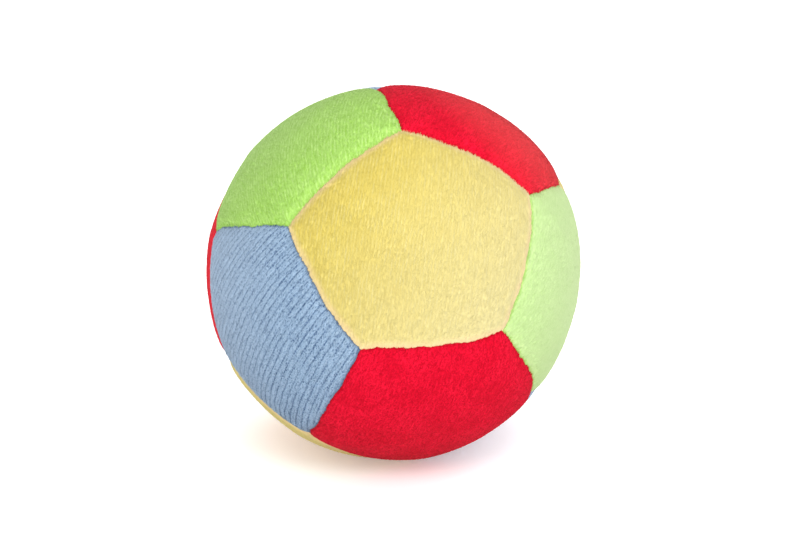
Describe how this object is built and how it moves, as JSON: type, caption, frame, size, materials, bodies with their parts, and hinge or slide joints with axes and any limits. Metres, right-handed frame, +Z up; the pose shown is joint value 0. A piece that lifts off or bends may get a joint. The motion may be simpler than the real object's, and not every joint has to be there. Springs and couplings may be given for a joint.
{
  "type": "soft rattle ball",
  "caption": "Soft round baby's ball sewn from pentagonal velour panels in bright colours, stuffed with fibre round a rattle capsule of loose pellets.",
  "frame": {"origin": "the point of the cover on which the ball lies, on the surface under it", "axes": "+Z up, -Y towards the viewer who sees the yellow front panel, +X to that viewer's right"},
  "size_m": [0.1092, 0.109, 0.1086],
  "materials": {
    "yellow_velour": "matte",
    "green_velour": "matte",
    "red_velour": "matte",
    "blue_rib_velour": "matte",
    "sewing_thread": "satin",
    "fibre_fill": "matte",
    "capsule_plastic": "satin",
    "pellet_plastic": "gloss"
  },
  "bodies": {
    "ball": {"panel_front": "yellow_velour", "panel_upper_right": "red_velour", "panel_right": "green_velour", "panel_lower": "red_velour", "panel_left": "blue_rib_velour", "panel_upper_left": "green_velour", "panel_top": "blue_rib_velour", "panel_far_right": "yellow_velour", "panel_bottom_right": "blue_rib_velour", "panel_bottom_left": "yellow_velour", "panel_far_left": "red_velour", "panel_back": "green_velour", "thread_front_ring": "sewing_thread", "thread_front_spoke_1": "sewing_thread", "thread_front_spoke_2": "sewing_thread", "thread_front_spoke_3": "sewing_thread", "thread_front_spoke_4": "sewing_thread", "thread_front_spoke_5": "sewing_thread", "thread_back_ring": "sewing_thread", "thread_back_spoke_1": "sewing_thread", "thread_back_spoke_2": "sewing_thread", "thread_back_spoke_3": "sewing_thread", "thread_back_spoke_4": "sewing_thread", "thread_back_spoke_5": "sewing_thread", "thread_zigzag": "sewing_thread", "thread_closing_stitch": "sewing_thread", "fill_front": "fibre_fill", "fill_back": "fibre_fill", "capsule_lower": "capsule_plastic", "capsule_upper": "capsule_plastic"},
    "middle_pellet": {"pellet_1": "pellet_plastic"},
    "ring_pellet_1": {"pellet_2": "pellet_plastic"},
    "ring_pellet_2": {"pellet_3": "pellet_plastic"},
    "ring_pellet_3": {"pellet_4": "pellet_plastic"},
    "ring_pellet_4": {"pellet_5": "pellet_plastic"},
    "ring_pellet_5": {"pellet_6": "pellet_plastic"},
    "ring_pellet_6": {"pellet_7": "pellet_plastic"}
  },
  "joints": [
    {"name": "middle_pellet_fall", "type": "slide", "parent": "ball", "child": "middle_pellet", "axis": [0, 0, 1], "range_m": [0, 0.026]},
    {"name": "ring_pellet_1_fall", "type": "slide", "parent": "ball", "child": "ring_pellet_1", "axis": [0, 0, 1], "range_m": [0, 0.0237]},
    {"name": "ring_pellet_2_fall", "type": "slide", "parent": "ball", "child": "ring_pellet_2", "axis": [0, 0, 1], "range_m": [0, 0.0237]},
    {"name": "ring_pellet_3_fall", "type": "slide", "parent": "ball", "child": "ring_pellet_3", "axis": [0, 0, 1], "range_m": [0, 0.0237]},
    {"name": "ring_pellet_4_fall", "type": "slide", "parent": "ball", "child": "ring_pellet_4", "axis": [0, 0, 1], "range_m": [0, 0.0237]},
    {"name": "ring_pellet_5_fall", "type": "slide", "parent": "ball", "child": "ring_pellet_5", "axis": [0, 0, 1], "range_m": [0, 0.0237]},
    {"name": "ring_pellet_6_fall", "type": "slide", "parent": "ball", "child": "ring_pellet_6", "axis": [0, 0, 1], "range_m": [0, 0.0237]}
  ]
}
